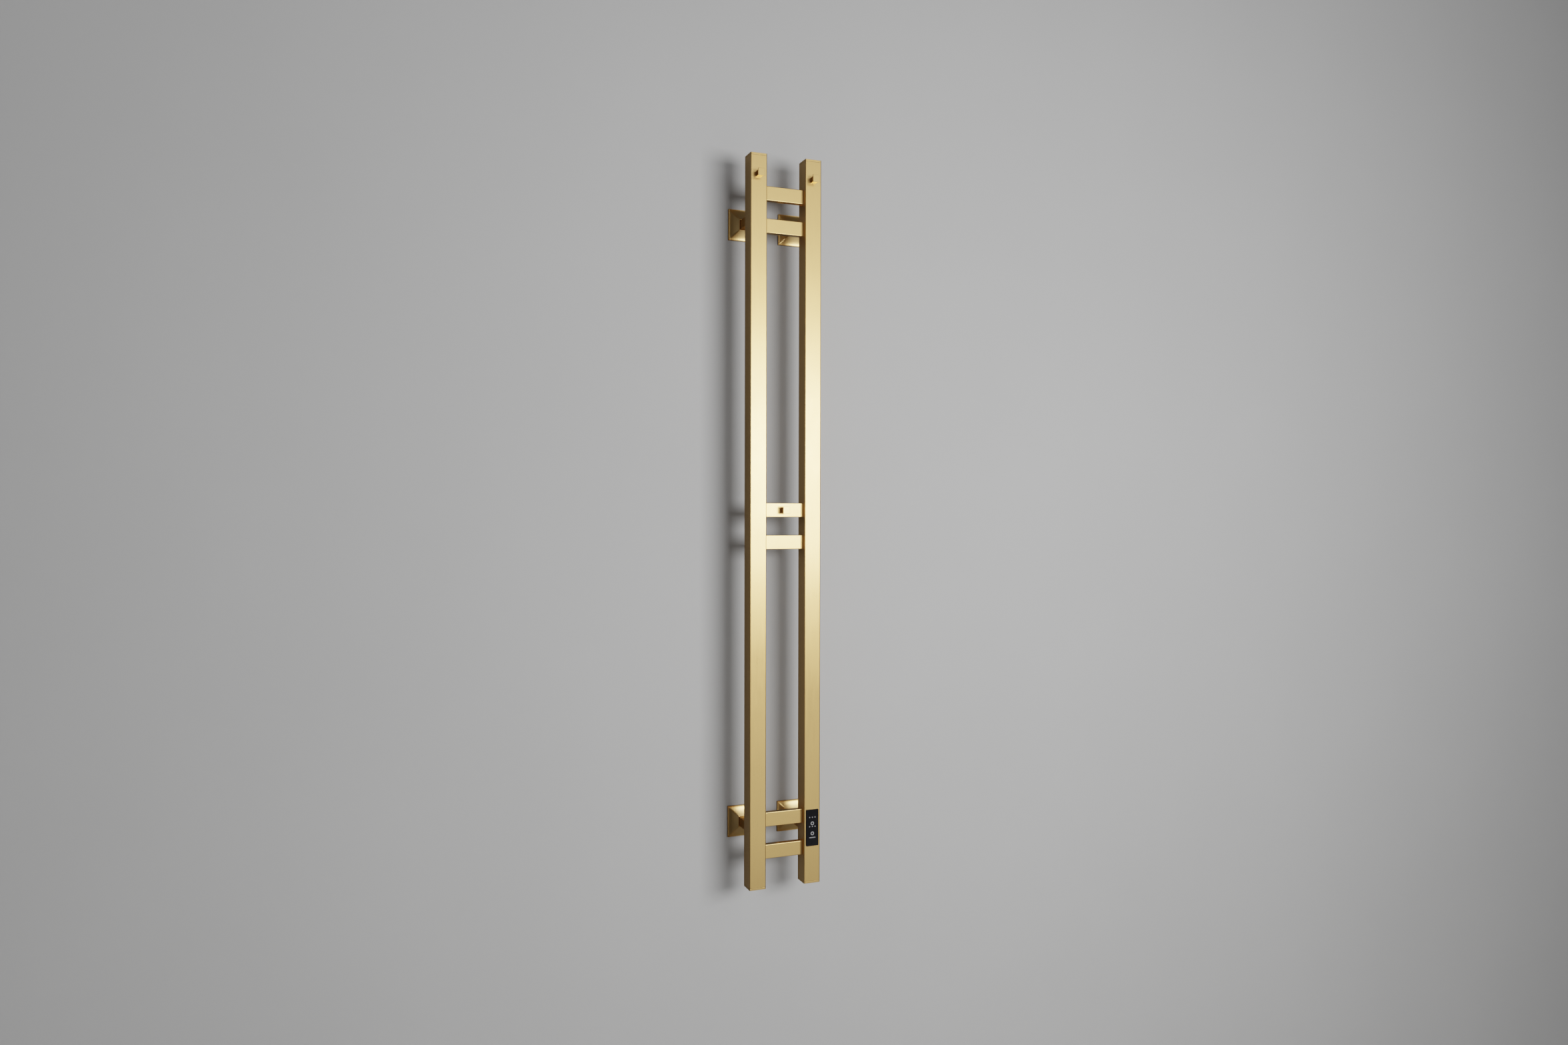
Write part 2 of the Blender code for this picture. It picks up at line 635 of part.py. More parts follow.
def make_light_pieces():
    """The LED strips and the light guide that shine through the glass."""
    depth = BOARD_SETBACK - 2 * GAP
    y = RAIL_FRONT + GAP + depth / 2
    for level, offset in LED_OFFSETS.items():
        small_box(level + "_led_strip", (LED_STRIP[0], depth, LED_STRIP[1]),
                  (PANEL_X, y, PANEL_CENTRE + offset), "white_plastic")
    small_box("light_guide", (LIGHT_GUIDE[0], depth, LIGHT_GUIDE[1]),
              (PANEL_X, y, PANEL_CENTRE + LIGHT_GUIDE_OFFSET), "clear_plastic")


def make_relay():
    """The relay behind the board, which switches the heating cable."""
    centre = (PANEL_X, BOARD_BACK + GAP + RELAY_SIZE[1] / 2, PANEL_CENTRE + RELAY_OFFSET)
    return small_box("relay", RELAY_SIZE, centre, "relay_blue", 0.4 * MM)


def make_control():
    """The touch control in the right rail, from its glass back to its relay."""
    make_panel_glass()
    make_housing()
    make_board()
    for key, offset in KEY_OFFSETS.items():
        make_touch_spring(key + "_touch_spring", PANEL_CENTRE + offset)
    make_light_pieces()
    make_relay()


# Heating ------------------------------------------------------------------------------


def make_terminal_block():
    """The connector that joins the heating cable's two ends to the supply."""
    _, depth, height = BLOCK_SIZE
    middle = CABLE_PLANE - BLOCK_SETFORWARD
    block = small_box("terminal_block", BLOCK_SIZE, (PANEL_X, middle, BLOCK_HEIGHT),
                      "white_plastic", 0.5 * MM)
    entry_depth = CABLE_ENTRY + 2 * GAP
    for name, x, up in (("top", PANEL_X, 1), ("bottom", CABLE_RETURN_X, -1)):
        mouth = (x, CABLE_PLANE, BLOCK_HEIGHT + up * height / 2)
        cut(block, round_cutter(f"block_{name}_entry", CABLE_RADIUS + GAP, 2 * entry_depth, mouth, UP))
    for side, sign in SIDES.items():
        well = (PANEL_X + sign * BLOCK_WELL_OFFSET, middle - depth / 2, BLOCK_HEIGHT)
        cut(block, round_cutter(f"block_{side}_well", BLOCK_WELL_RADIUS, 2 * BLOCK_WELL_DEPTH, well,
                                FORWARD))
    return block


def bend(centre_x, centre_z, start_angle, end_angle, steps=6):
    """Points on an arc of the cable's bend radius, angles in degrees from +X towards +Z."""
    points = []
    for index in range(steps + 1):
        angle = math.radians(start_angle + (end_angle - start_angle) * index / steps)
        points.append((centre_x + CABLE_BEND * math.cos(angle), CABLE_PLANE,
                       centre_z + CABLE_BEND * math.sin(angle)))
    return points


def make_heating_cable():
    """One loop: up the right rail, along the top rung, down the left rail, back along the
    bottom rung and up behind the housing."""
    top = RUNG_HEIGHTS[0] - CABLE_BEND
    bottom = RUNG_HEIGHTS[-1] + CABLE_BEND
    rail_x = RAIL_SPACING / 2
    block_top = BLOCK_HEIGHT + BLOCK_SIZE[2] / 2
    block_bottom = BLOCK_HEIGHT - BLOCK_SIZE[2] / 2
    route = [(rail_x, CABLE_PLANE, block_top - CABLE_ENTRY)]
    route += bend(rail_x - CABLE_BEND, top, 0, 90)
    route += bend(-rail_x + CABLE_BEND, top, 90, 180)
    route += bend(-rail_x + CABLE_BEND, bottom, 180, 270)
    route += bend(CABLE_RETURN_X - CABLE_BEND, bottom, 270, 360)
    route += [(CABLE_RETURN_X, CABLE_PLANE, block_bottom + CABLE_ENTRY)]
    curve = bpy.data.curves.new("heating_cable", "CURVE")
    curve.dimensions = "3D"
    curve.bevel_depth = CABLE_RADIUS
    curve.bevel_resolution = 3
    curve.render_resolution_u = 0
    curve.use_fill_caps = True
    spline = curve.splines.new("POLY")
    spline.points.add(len(route) - 1)
    for point, place_on_route in zip(spline.points, route):
        point.co = (*place_on_route, 1)
    cable = bpy.data.objects.new("heating_cable", curve)
    return finish_object(cable, "silicone_red")


def capsule(name, radius, length, centre, finish):
    """A round-ended sleeve that stands upright."""
    steps = 6
    quarter = [math.pi / 2 * step / steps for step in range(1, steps + 1)]
    half = length / 2 - radius
    upper = [(radius * math.sin(angle), half + radius * math.cos(angle)) for angle in quarter]
    lower = [(out, -height) for out, height in reversed(upper)]
    profile = [(0, length / 2), *upper, *lower, (0, -length / 2)]
    return turned(name, profile, centre, UP, finish)


def make_earth_stud():
    """The weld stud inside the back wall of the right rail, with its nut run down."""
    stud_radius = 1.8 * MM
    flange_radius = 3 * MM
    flange = 1 * MM
    nut_radius = 3.5 * MM
    nut = 2.5 * MM
    end = 8 * MM
    profile = [(0, end), (stud_radius, end), (stud_radius, flange + nut),
               (nut_radius, flange + nut), (nut_radius, flange), (flange_radius, flange),
               (flange_radius, 0), (0, 0)]
    base = (PANEL_X + EARTH_STUD_OFFSET, RAIL_BACK - RAIL_WALL - GAP, EARTH_STUD_HEIGHT)
    return turned("earth_stud", profile, base, FORWARD, "steel")


def make_heating():
    """The cable loop with its connector, its safety cut-out, its probe and the earth stud."""
    make_terminal_block()
    make_heating_cable()
    cutout_y = CABLE_PLANE - CABLE_RADIUS - GAP - CUTOUT_RADIUS
    capsule("thermal_cutout", CUTOUT_RADIUS, CUTOUT_LENGTH, (PANEL_X, cutout_y, CUTOUT_HEIGHT),
            "steel")
    probe_y = RAIL_BACK - RAIL_WALL - GAP - PROBE_RADIUS
    capsule("temperature_probe", PROBE_RADIUS, PROBE_LENGTH,
            (PANEL_X + PROBE_OFFSET, probe_y, PROBE_HEIGHT), "black_rubber")
    make_earth_stud()


def build():
    make_rail("left")
    make_window(make_rail("right"))
    rungs = [make_rung(number + 1, z) for number, z in enumerate(RUNG_HEIGHTS)]
    cut(rungs[2], round_cutter("middle_hook_hole", STUD_HOLE, PASS_THROUGH,
                               (0, RUNG_FRONT, RUNG_HEIGHTS[2]), FORWARD))
    for side in SIDES:
        for level in POST_HEIGHTS:
            make_end_cap(side, level)
    make_hooks()
    make_brackets()
    make_control()
    make_heating()


build()
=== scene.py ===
"""Looks of the wall-hung towel warmer rack.

The CAD pieces get their finishes and their rounded edges. Weld beads, printed marks and softly
flared rosettes are added. The rack hangs on a pale wall in soft studio light.
"""

import json
import math

import bmesh
import bpy
from mathutils import Matrix, Vector


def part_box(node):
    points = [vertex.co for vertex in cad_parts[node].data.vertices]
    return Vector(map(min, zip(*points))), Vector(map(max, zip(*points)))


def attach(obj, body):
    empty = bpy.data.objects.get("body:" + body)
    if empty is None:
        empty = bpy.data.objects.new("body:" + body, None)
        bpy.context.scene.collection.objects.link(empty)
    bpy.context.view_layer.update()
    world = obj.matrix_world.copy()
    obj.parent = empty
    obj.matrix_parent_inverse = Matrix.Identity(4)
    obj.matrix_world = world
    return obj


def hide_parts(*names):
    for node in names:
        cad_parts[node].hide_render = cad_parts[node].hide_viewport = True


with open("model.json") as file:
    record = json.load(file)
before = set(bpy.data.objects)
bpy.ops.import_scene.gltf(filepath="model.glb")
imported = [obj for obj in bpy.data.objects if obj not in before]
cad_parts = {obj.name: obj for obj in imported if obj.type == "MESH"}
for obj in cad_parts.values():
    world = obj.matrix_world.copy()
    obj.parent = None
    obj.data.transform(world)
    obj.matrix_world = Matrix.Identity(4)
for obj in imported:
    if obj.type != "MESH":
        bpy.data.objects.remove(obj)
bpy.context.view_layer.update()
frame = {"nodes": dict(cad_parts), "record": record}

MM = 0.001
NODES = frame["nodes"]
ROOT = "rack"

# Camera --------------------------------------------------------------------------------

CAMERA_PLACE = Vector((-0.6704, -1.7666, 0.0187))
CAMERA_YAW = math.radians(21.67)
CAMERA_PITCH = math.radians(-0.59)
CAMERA_ROLL = math.radians(-0.11)
CAMERA_LENS = 25.27
CAMERA_SENSOR = 36
CAMERA_NEAR = 0.01


def make_camera():
    """Stand to the left of the rack at half its height, and look a little to the right."""
    forward = Vector((math.sin(CAMERA_YAW) * math.cos(CAMERA_PITCH),
                      math.cos(CAMERA_YAW) * math.cos(CAMERA_PITCH), math.sin(CAMERA_PITCH)))
    level = Vector((math.cos(CAMERA_YAW), -math.sin(CAMERA_YAW), 0))
    above = level.cross(forward)
    right = math.cos(CAMERA_ROLL) * level - math.sin(CAMERA_ROLL) * above
    up = math.sin(CAMERA_ROLL) * level + math.cos(CAMERA_ROLL) * above
    data = bpy.data.cameras.new("camera")
    data.sensor_width = CAMERA_SENSOR
    data.lens = CAMERA_LENS
    data.clip_start = CAMERA_NEAR
    camera = bpy.data.objects.new("camera", data)
    turn = Matrix((right, up, -forward)).transposed().to_4x4()
    camera.matrix_world = Matrix.Translation(CAMERA_PLACE) @ turn
    bpy.context.scene.collection.objects.link(camera)
    bpy.context.scene.camera = camera


# Materials -----------------------------------------------------------------------------

# Texture scales: the higher, the finer.
GRAIN_SCALE = 2600
WIDE_GRAIN_SCALE = 420
HANDLED_SCALE = 9
CLOUD_SCALE = 700
CRYSTAL_SCALE = 420
PLATING_SCALE = 900
SKIN_SCALE = 1800
TONE_SCALE = 60
SMEAR_SCALE = 70
TRACK_SCALE = 900

GOLD = (0.775, 0.483, 0.175)
# The second, lighter gold goes on rounded edges and sloping faces: partly a worn coating, partly a
# painted highlight.
GOLD_WEAR_AND_HIGHLIGHT = (0.88, 0.62, 0.30)
GOLD_ROUGHNESS = 0.32
GRAIN_STRETCH = 0.012
EDGE_WEAR_AND_HIGHLIGHT = 0.45


class Shader:
    """A material with a Principled shader, and short calls that add nodes to it."""

    def __init__(self, name, color, roughness, metallic=0.0, **fixed):
        self.material = bpy.data.materials.new(name)
        self.material.use_nodes = True
        self.tree = self.material.node_tree
        self.principled = self.tree.nodes["Principled BSDF"]
        self.set("Base Color", (*color, 1))
        self.set("Roughness", roughness)
        self.set("Metallic", metallic)
        for socket, value in fixed.items():
            self.set(socket.replace("_", " "), value)

    def set(self, socket, value):
        self.principled.inputs[socket].default_value = value

    def node(self, kind, inputs=None, **settings):
        made = self.tree.nodes.new("ShaderNode" + kind)
        for key, value in settings.items():
            setattr(made, key, value)
        for socket, value in (inputs or {}).items():
            if isinstance(value, bpy.types.NodeSocket):
                self.tree.links.new(value, made.inputs[socket])
            else:
                made.inputs[socket].default_value = value
        return made

    def link(self, output, socket):
        self.tree.links.new(output, self.principled.inputs[socket])

    def place(self, scale=(1, 1, 1)):
        """Object coordinates, in metres, stretched by scale."""
        coordinates = self.node("TexCoord").outputs["Object"]
        return self.node("Mapping", {"Vector": coordinates, "Scale": scale}).outputs["Vector"]

    def noise(self, scale, stretch=(1, 1, 1), detail=3.0, roughness=0.5):
        return self.node("TexNoise", {"Vector": self.place(stretch), "Scale": scale,
                                      "Detail": detail, "Roughness": roughness}).outputs["Fac"]

    def remap(self, value, low, high, start=0.3, end=0.7):
        """A value from low to high as the input goes from start to end."""
        return self.node("MapRange", {"Value": value, "From Min": start, "From Max": end,
                                      "To Min": low, "To Max": high}).outputs["Result"]

    def add(self, first, second):
        return self.node("Math", {0: first, 1: second}, operation="ADD").outputs[0]

    def mix(self, share, first, second):
        made = self.node("Mix", {0: share}, data_type="RGBA")
        for socket, value in ((6, first), (7, second)):
            if isinstance(value, bpy.types.NodeSocket):
                self.tree.links.new(value, made.inputs[socket])
            else:
                made.inputs[socket].default_value = (*value, 1)
        return made.outputs[2]

    def bump(self, height, strength, distance):
        made = self.node("Bump", {"Height": height, "Strength": strength, "Distance": distance})
        self.link(made.outputs["Normal"], "Normal")


def shade(color, factor):
    """The colour made lighter or darker by a factor."""
    return tuple(min(1.0, channel * factor) for channel in color)


def edge_mask(shader):
    """1 on rounded edges and sloping faces, 0 on faces that look along an axis; there the gold is
    painted lighter, partly as wear and partly as a painted highlight.
    """
    normal = shader.node("NewGeometry").outputs["Normal"]
    size = shader.node("VectorMath", {0: normal}, operation="ABSOLUTE").outputs[0]
    parts = shader.node("SeparateXYZ", {0: size})
    widest = shader.node("Math", {0: parts.outputs[0], 1: parts.outputs[1]}, operation="MAXIMUM")
    widest = shader.node("Math", {0: widest.outputs[0], 1: parts.outputs[2]}, operation="MAXIMUM")
    return shader.remap(widest.outputs[0], 1, 0, 0.90, 0.985)


def brushed_gold(name, grain_axis):
    """Fine brushed metal under a brass-coloured coating, with its grain along one axis."""
    shader = Shader(name, GOLD, GOLD_ROUGHNESS, 1.0, Coat_Weight=0.15, Coat_Roughness=0.2)
    stretch = [1.0, 1.0, 1.0]
    stretch[grain_axis] = GRAIN_STRETCH
    grain = shader.noise(GRAIN_SCALE, stretch, detail=4.0, roughness=0.7)
    wide_grain = shader.noise(WIDE_GRAIN_SCALE, stretch, detail=2.0)
    handled = shader.noise(HANDLED_SCALE, detail=4.0, roughness=0.6)
    color = shader.mix(shader.remap(grain, 0, 1), shade(GOLD, 0.95), shade(GOLD, 1.05))
    color = shader.mix(shader.remap(wide_grain, 0, 0.5), color, shade(GOLD, 0.97))
    # Rounded edges and sloping faces turn a lighter gold: partly wear of the coating, partly a
    # painted highlight.
    color = shader.mix(shader.remap(edge_mask(shader), 0, EDGE_WEAR_AND_HIGHLIGHT, 0, 1), color, GOLD_WEAR_AND_HIGHLIGHT)
    shader.link(color, "Base Color")
    roughness = shader.add(shader.remap(grain, GOLD_ROUGHNESS - 0.04, GOLD_ROUGHNESS + 0.04),
                           shader.remap(handled, -0.03, 0.03))
    shader.link(roughness, "Roughness")
    shader.bump(shader.add(grain, wide_grain), 0.2, 0.02 * MM)
    return shader.material


def plain_metal(name, color, roughness):
    """Bright metal with a faint cloudy grain."""
    shader = Shader(name, color, roughness, 1.0)
    cloud = shader.noise(CLOUD_SCALE, detail=4.0)
    shader.link(shader.mix(shader.remap(cloud, 0, 1), shade(color, 0.85), shade(color, 1.1)),
                "Base Color")
    shader.link(shader.remap(cloud, roughness - 0.06, roughness + 0.1), "Roughness")
    shader.bump(cloud, 0.2, 0.05 * MM)
    return shader.material


def zinc_plate(name):
    """Zinc plating: small flat crystals of slightly different greys."""
    shader = Shader(name, (0.42, 0.43, 0.45), 0.42, 1.0)
    crystals = shader.node("TexVoronoi", {"Vector": shader.place(), "Scale": CRYSTAL_SCALE})
    share = shader.node("SeparateColor", {0: crystals.outputs["Color"]}).outputs[0]
    shader.link(shader.mix(share, (0.36, 0.37, 0.39), (0.52, 0.53, 0.55)), "Base Color")
    shader.link(shader.remap(share, 0.34, 0.52, 0, 1), "Roughness")
    shader.bump(shader.noise(PLATING_SCALE), 0.15, 0.05 * MM)
    return shader.material


def moulded(name, color, roughness, strength=0.25):
    """Moulded plastic or rubber: a fine leathery grain and a slight change of tone."""
    shader = Shader(name, color, roughness)
    leather = shader.noise(SKIN_SCALE, detail=3.0)
    tone = shader.noise(TONE_SCALE, detail=3.0)
    shader.link(shader.mix(shader.remap(tone, 0, 1), shade(color, 0.88), shade(color, 1.1)),
                "Base Color")
    shader.link(shader.remap(leather, roughness - 0.05, roughness + 0.08), "Roughness")
    shader.bump(leather, strength, 0.04 * MM)
    return shader.material


def black_glass(name):
    """Polished black glass with faint smears."""
    color = (0.004, 0.004, 0.005)
    shader = Shader(name, color, 0.06, IOR=1.5, Specular_IOR_Level=0.08)
    smear = shader.noise(SMEAR_SCALE, (1, 1, 0.4), detail=5.0, roughness=0.65)
    shader.link(shader.remap(smear, 0.04, 0.13), "Roughness")
    shader.link(shader.mix(shader.remap(smear, 0, 1), color, (0.008, 0.008, 0.009)), "Base Color")
    return shader.material


def circuit_board(name):
    """Green solder mask with copper tracks under it."""
    shader = Shader(name, (0.02, 0.13, 0.06), 0.35, IOR=1.5)
    tracks = shader.node("TexBrick", {
        "Vector": shader.place(), "Scale": TRACK_SCALE, "Color1": (0.012, 0.10, 0.045, 1),
        "Color2": (0.016, 0.12, 0.055, 1), "Mortar": (0.05, 0.24, 0.10, 1), "Mortar Size": 0.06})
    shader.link(tracks.outputs["Color"], "Base Color")
    shader.bump(tracks.outputs["Fac"], 0.2, 0.03 * MM)
    return shader.material


X_AXIS, Y_AXIS, Z_AXIS = 0, 1, 2
LOOKS = {
    "gold_upright": brushed_gold("gold_upright", Z_AXIS),
    "gold_across": brushed_gold("gold_across", X_AXIS),
    "gold_outward": brushed_gold("gold_outward", Y_AXIS),
    "fastener_steel": plain_metal("fastener_steel", (0.52, 0.52, 0.53), 0.28),
    "anchor_zinc": zinc_plate("anchor_zinc"),
    "panel_glass": black_glass("panel_glass"),
    "housing_plastic": moulded("housing_plastic", (0.02, 0.02, 0.021), 0.5),
    "board": circuit_board("board"),
    "light_plastic": moulded("light_plastic", (0.75, 0.77, 0.79), 0.2, strength=0.05),
    "printed_mark": moulded("printed_mark", (0.36, 0.36, 0.37), 0.35, strength=0.05),
    "white_plastic": moulded("white_plastic", (0.68, 0.67, 0.62), 0.42),
    "relay_plastic": moulded("relay_plastic", (0.02, 0.06, 0.22), 0.38),
    "spring_wire": plain_metal("spring_wire", (0.72, 0.45, 0.25), 0.25),
    "silicone": moulded("silicone", (0.30, 0.03, 0.02), 0.55),
    "black_rubber": moulded("black_rubber", (0.015, 0.015, 0.015), 0.7),
}
GOLD_LOOKS = {"rail": "gold_upright", "cap": "gold_across", "post": "gold_outward",
              "hook": "gold_outward", "cover": "gold_upright"}


def look_of(node, slot):
    """The finish of a CAD node. Gold pieces differ in the way that their grain runs."""
    if slot != "brushed_gold":
        return LOOKS[slot]
    if node.startswith("rung"):
        return LOOKS["gold_across"]
    return LOOKS[GOLD_LOOKS[node.rsplit("_", 1)[-1]]]


def dress_cad_nodes():
    """Give every CAD node the finish of its slot."""
    for part in frame["record"]["subparts"]:
        node = NODES[part["node"]]
        node.data.materials.clear()
        node.data.materials.append(look_of(part["node"], part["material_slot"]))


# Fine shape of the CAD pieces ----------------------------------------------------------

GOLD_EDGE = 0.2 * MM
GLASS_EDGE = 0.18 * MM
EDGE_SEGMENTS = 3
SHARP_ANGLE = math.radians(28)
FLAT_ANGLE = math.radians(0.5)
MERGE_GAP = 0.005 * MM


def round_edges(obj, edge):
    """Round the edges that are sharp, and shade the rest smooth."""
    bevel = obj.modifiers.new("rounded_edges", "BEVEL")
    bevel.width = edge
    bevel.segments = EDGE_SEGMENTS
    bevel.limit_method = "ANGLE"
    bevel.angle_limit = SHARP_ANGLE
    bevel.use_clamp_overlap = False
    bevel.harden_normals = True


def refine(node, edge):
    """Join the coplanar facets of a CAD piece, and round its edges."""
    weld = node.modifiers.new("joined_facets", "WELD")
    weld.merge_threshold = MERGE_GAP
    flatten = node.modifiers.new("flat_faces", "DECIMATE")
    flatten.decimate_type = "DISSOLVE"
    flatten.angle_limit = FLAT_ANGLE
    round_edges(node, edge)


def refine_cad_nodes():
    """Round the edges of the visible pieces; the inner ones stay as they are."""
    for part in frame["record"]["subparts"]:
        name, slot = part["node"], part["material_slot"]
        if slot == "brushed_gold":
            refine(NODES[name], GOLD_EDGE)
        elif slot == "panel_glass":
            refine(NODES[name], GLASS_EDGE)


# Detail pieces -------------------------------------------------------------------------

CORNER_STEPS = 5
ROUND_STEPS = 40


def add_piece(obj, material, body=ROOT):
    """Finish a piece: its material and the body it rides on."""
    obj.data.materials.clear()
    obj.data.materials.append(LOOKS[material])
    bpy.context.scene.collection.objects.link(obj)
    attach(obj, body)
    return obj


def mesh_piece(name, bm, material, body=ROOT):
    """Turn finished mesh work into a piece, with its faces pointing out."""
    bmesh.ops.recalc_face_normals(bm, faces=bm.faces)
    mesh = bpy.data.meshes.new(name)
    bm.to_mesh(mesh)
    bm.free()
    return add_piece(bpy.data.objects.new(name, mesh), material, body)


def skin(bm, loops):
    """Join each loop of points to the next one with a band of faces."""
    for loop, following in zip(loops, loops[1:]):
        for i in range(len(loop)):
            j = (i + 1) % len(loop)
            bm.faces.new((loop[i], loop[j], following[j], following[i]))


def circle(across, up, radius):
    """Points round a circle with this centre."""
    return [(across + radius * math.cos(math.tau * step / ROUND_STEPS),
             up + radius * math.sin(math.tau * step / ROUND_STEPS))
            for step in range(ROUND_STEPS)]


def rounded_outline(width, height, corner):
    """Points round a rectangle about the origin, with round corners."""
    points = []
    for quarter, (across, up) in enumerate(((1, 1), (-1, 1), (-1, -1), (1, -1))):
        for step in range(CORNER_STEPS + 1):
            angle = math.pi / 2 * (quarter + step / CORNER_STEPS)
            points.append((across * (width / 2 - corner) + corner * math.cos(angle),
                           up * (height / 2 - corner) + corner * math.sin(angle)))
    return points


# Weld beads, dressed flat, where the rungs meet the rails.
RUNGS = 6
WELD_RADIUS = 0.55 * MM
WELD_SINK = 0.25 * MM
WELD_CORNER = 1.0 * MM
WELD_ROUNDNESS = 3


def make_weld(name, x, y, z, depth, height):
    """The bead round one end of a rung."""
    curve = bpy.data.curves.new(name, "CURVE")
    curve.dimensions = "3D"
    curve.bevel_depth = WELD_RADIUS
    curve.bevel_resolution = WELD_ROUNDNESS
    spline = curve.splines.new("POLY")
    outline = rounded_outline(depth, height, WELD_CORNER)
    spline.points.add(len(outline) - 1)
    for point, (across, up) in zip(spline.points, outline):
        point.co = (x, y + across, z + up, 1)
    spline.use_cyclic_u = True
    add_piece(bpy.data.objects.new(name, curve), "gold_across")


def make_welds():
    """A bead round both ends of every rung, sunk a little into the metal."""
    for number in range(1, RUNGS + 1):
        low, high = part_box(f"rung_{number}")
        middle = (low + high) / 2
        inset = 2 * WELD_SINK
        for side, x in (("left", low.x), ("right", high.x)):
            make_weld(f"rung_{number}_{side}_weld", x, middle.y, middle.z,
                      high.y - low.y - inset, high.z - low.z - inset)


# Rosettes: a reach is measured from the post's axis, and a depth from the wall.
COVER_HOLE = 7.8 * MM
COVER_TOP = 9.0 * MM
COVER_MARGIN = 0.8 * MM
COVER_PLATE = 3.0 * MM
COVER_SKIN = 1.4 * MM
COVER_CORNER = 0.5 * MM
CREASE_SOFTNESS = 2.2 * MM
FLARE_POWER = 1.3
FLARE_STEPS = 14


def cover_rows(half, tall):
    """Square sections of a rosette, from its hole over the flare to the wall and back inside.

    Each one has a reach, a depth and a corner radius, which is largest halfway down the flare.
    """
    flare = []
    for step in range(FLARE_STEPS + 1):
        share = step / FLARE_STEPS
        flare.append((COVER_TOP + (half - COVER_MARGIN - COVER_TOP) * share,
                      COVER_PLATE + (tall - COVER_PLATE) * (1 - share) ** FLARE_POWER,
                      COVER_CORNER + CREASE_SOFTNESS * 4 * share * (1 - share)))
    inside = half - COVER_SKIN
    inner_flare = [(min(reach, inside), depth - COVER_SKIN, corner)
                   for reach, depth, corner in reversed(flare)]
    rim = [(half, COVER_PLATE, COVER_CORNER), (half, 0, COVER_CORNER), (inside, 0, COVER_CORNER)]
    return [(COVER_HOLE, tall, COVER_CORNER), *flare, *rim, *inner_flare,
            (COVER_HOLE, tall - COVER_SKIN, COVER_CORNER)]


def make_cover(place):
    """A pressed rosette whose four sides flare out softly from its post to its rim."""
    node = place + "_cover"
    low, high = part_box(node)
    middle = (low + high) / 2
    bm = bmesh.new()
    loops = [[bm.verts.new((middle.x + across, high.y - depth, middle.z + up))
              for across, up in rounded_outline(2 * reach, 2 * reach, corner)]
             for reach, depth, corner in cover_rows((high.x - low.x) / 2, high.y - low.y)]
    skin(bm, loops + loops[:1])
    cover = mesh_piece(place + "_rosette_shell", bm, "gold_upright",
                       place + "_rosette")
    cover.data.shade_smooth()
    round_edges(cover, GOLD_EDGE)
    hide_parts(node)


def make_covers():
    for side in ("left", "right"):
        for level in ("top", "bottom"):
            make_cover(f"{side}_{level}")


# Marks on the glass: heights are measured up from its middle, and lifts off its face.
MARK_LIFTS = (-0.02 * MM, 0.05 * MM)
DOT_RADIUS = 0.9 * MM
DOT_SPACING = 4.8 * MM
DOT_ROWS = {"heat": 17.3 * MM, "timer": 1.9 * MM}
RING_RADII = (3.0 * MM, 1.7 * MM)
RING_LEVELS = {"timer": 7.1 * MM, "power": -9.6 * MM}
BAR_SIZE = (11.1 * MM, 1.3 * MM)
BAR_CORNER = 0.5 * MM
BAR_LEVEL = -16.4 * MM


def on_glass(bm, outline):
    """The outline twice: just under the face of the glass, and just off it."""
    low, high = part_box("panel_glass")
    middle = (low + high) / 2
    return [[bm.verts.new((middle.x + across, low.y - lift, middle.z + up))
             for across, up in outline] for lift in MARK_LIFTS]


def mark_pads(name, outlines):
    """Flat marks, each filling its outline."""
    bm = bmesh.new()
    for outline in outlines:
        loops = on_glass(bm, outline)
        skin(bm, loops)
        for loop in loops:
            bm.faces.new(loop)
    mesh_piece(name, bm, "printed_mark")


def mark_ring(name, level):
    """A flat ring round a touch key."""
    bm = bmesh.new()
    outer, inner = (on_glass(bm, circle(0, level, radius)) for radius in RING_RADII)
    skin(bm, [*outer, *reversed(inner), outer[0]])
    mesh_piece(name, bm, "printed_mark")


def make_marks():
    """Two rows of lights, a ring round each touch key, and the standby bar."""
    for name, level in DOT_ROWS.items():
        mark_pads(name + "_lights", [circle(column * DOT_SPACING, level, DOT_RADIUS)
                                     for column in (-1, 0, 1)])
    for name, level in RING_LEVELS.items():
        mark_ring(name + "_ring", level)
    bar = rounded_outline(*BAR_SIZE, BAR_CORNER)
    mark_pads("standby_bar", [[(across, up + BAR_LEVEL) for across, up in bar]])


# Stage ---------------------------------------------------------------------------------

WALL_TONE = (0.60, 0.60, 0.60)
FLOOR_TONE = (0.72, 0.71, 0.69)
FLOOR_LEVEL = -1.5
WALL_TOP = 2.5
STAGE_REACH = 5
WALL_BACKSET = 0.4 * MM
DIM_REFLECTION = 0.75


def plane(name, corners, material):
    """A flat part of the stage."""
    mesh = bpy.data.meshes.new(name)
    mesh.from_pydata(corners, [], [tuple(range(len(corners)))])
    mesh.materials.append(material)
    obj = bpy.data.objects.new(name, mesh)
    bpy.context.scene.collection.objects.link(obj)


def dim_in_reflections(shader, color):
    """Let the polished metal reflect a darker room than the one it hangs in."""
    glossy = shader.node("LightPath").outputs["Is Glossy Ray"]
    share = shader.remap(glossy, 0, DIM_REFLECTION, 0, 1)
    shader.link(shader.mix(share, color, (0, 0, 0)), "Base Color")


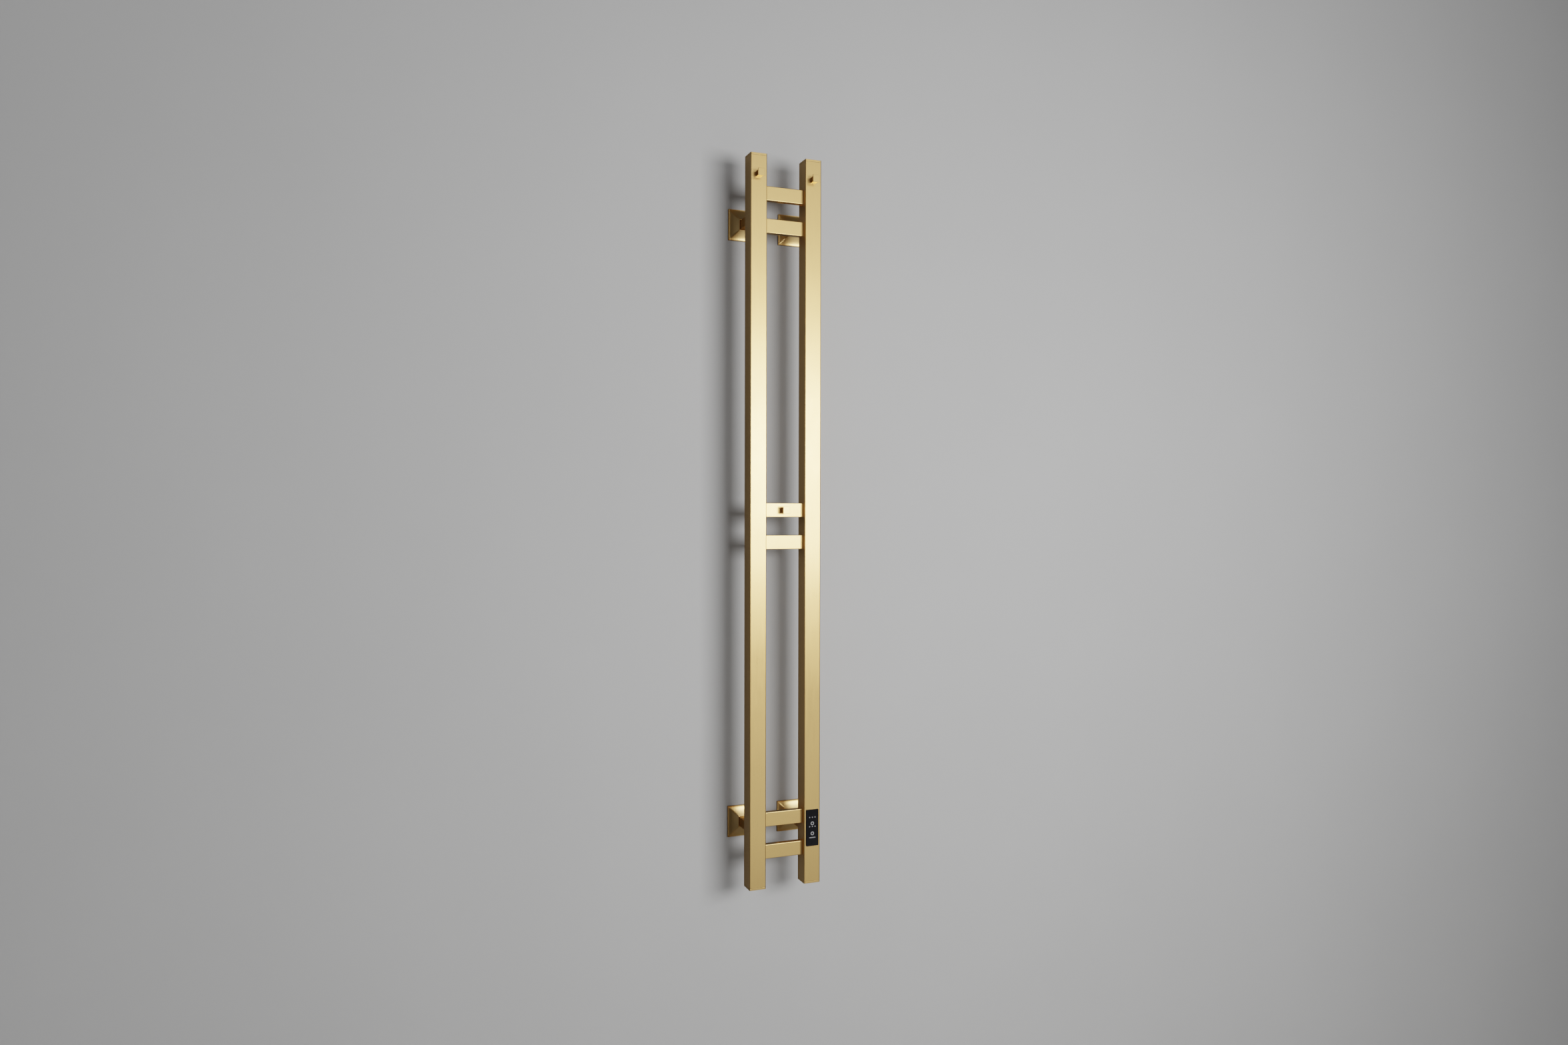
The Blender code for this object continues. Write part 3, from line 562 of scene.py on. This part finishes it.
def wall_material():
    """Smooth painted plaster. For a view from behind it isn't there, nor in the way of light."""
    shader = Shader("wall_paint", WALL_TONE, 0.75)
    cloud = shader.noise(3, detail=4.0)
    color = shader.mix(shader.remap(cloud, 0, 1), shade(WALL_TONE, 0.985), shade(WALL_TONE, 1.015))
    dim_in_reflections(shader, color)
    shader.bump(shader.noise(260, detail=4.0), 0.05, 0.2 * MM)
    clear = shader.node("BsdfTransparent")
    behind = shader.node("NewGeometry").outputs["Backfacing"]
    crossed = shader.node("LightPath").outputs["Transparent Depth"]
    absent = shader.node("Math", {0: behind, 1: crossed}, operation="MAXIMUM").outputs[0]
    mixed = shader.node("MixShader", {0: absent, 1: shader.principled.outputs[0],
                                      2: clear.outputs[0]})
    output = shader.tree.nodes["Material Output"]
    shader.tree.links.new(mixed.outputs[0], output.inputs["Surface"])
    return shader.material


def floor_material():
    """Pale matt floor paint."""
    shader = Shader("floor_paint", FLOOR_TONE, 0.7)
    cloud = shader.noise(4, detail=3.0)
    color = shader.mix(shader.remap(cloud, 0, 1), shade(FLOOR_TONE, 0.98), shade(FLOOR_TONE, 1.02))
    dim_in_reflections(shader, color)
    return shader.material


def make_stage():
    """The wall that the rack hangs on, and the floor under it."""
    reach, top, level = STAGE_REACH, WALL_TOP, FLOOR_LEVEL
    plane("wall", [(-reach, WALL_BACKSET, level), (reach, WALL_BACKSET, level),
                   (reach, WALL_BACKSET, top), (-reach, WALL_BACKSET, top)], wall_material())
    plane("floor", [(-reach, -reach, level), (reach, -reach, level),
                    (reach, reach, level), (-reach, reach, level)], floor_material())


# Light ---------------------------------------------------------------------------------

KEY_ACROSS = 0.62
KEY_DISTANCE = 2.1
KEY_WIDTH = 1.2
KEY_AIM = 0.5
# The height at which each key light hangs, how tall it is, and its power.
KEY_LEVELS = {"upper": (1.15, 0.6, 3), "middle": (0.2, 0.65, 37), "lower": (-1.0, 0.8, 2.7)}
FILL_PLACE = (-1.7, -2.0, 0.0)
FILL_SIZE = (1.2, 2.6)
FILL_POWER = 1.2
BACK_PLACE = (-0.8, 2.1, 0.6)
BACK_SIZE = (2.0, 2.4)
BACK_POWER = 45
ROOM_LIGHT = 0.05


def softbox(name, place, target, width, height, power):
    """A white rectangular light that the camera doesn't see."""
    data = bpy.data.lights.new(name, "AREA")
    data.shape = "RECTANGLE"
    data.size = width
    data.size_y = height
    data.energy = power
    light = bpy.data.objects.new(name, data)
    light.location = place
    aim = Vector(target) - Vector(place)
    light.rotation_euler = aim.to_track_quat("-Z", "Y").to_euler()
    light.visible_camera = False
    bpy.context.scene.collection.objects.link(light)


def make_light():
    """A tall stack of softboxes a little to the right, brightest in the middle, in a dim room.

    A weak one fills from the left, and one behind the wall serves views from behind.
    """
    for level, (height, tall, power) in KEY_LEVELS.items():
        softbox(level + "_key", (KEY_ACROSS, -KEY_DISTANCE, height), (0, 0, height * KEY_AIM),
                KEY_WIDTH, tall, power)
    softbox("left_fill", FILL_PLACE, (0, 0, 0), *FILL_SIZE, FILL_POWER)
    softbox("back_light", BACK_PLACE, (0, 0, 0), *BACK_SIZE, BACK_POWER)
    world = bpy.data.worlds.new("studio")
    world.use_nodes = True
    background = world.node_tree.nodes["Background"]
    background.inputs["Color"].default_value = (1, 1, 1, 1)
    background.inputs["Strength"].default_value = ROOM_LIGHT
    bpy.context.scene.world = world
    bpy.context.scene.view_settings.view_transform = "Filmic"


make_camera()
dress_cad_nodes()
refine_cad_nodes()
make_welds()
make_covers()
make_marks()
make_stage()
make_light()
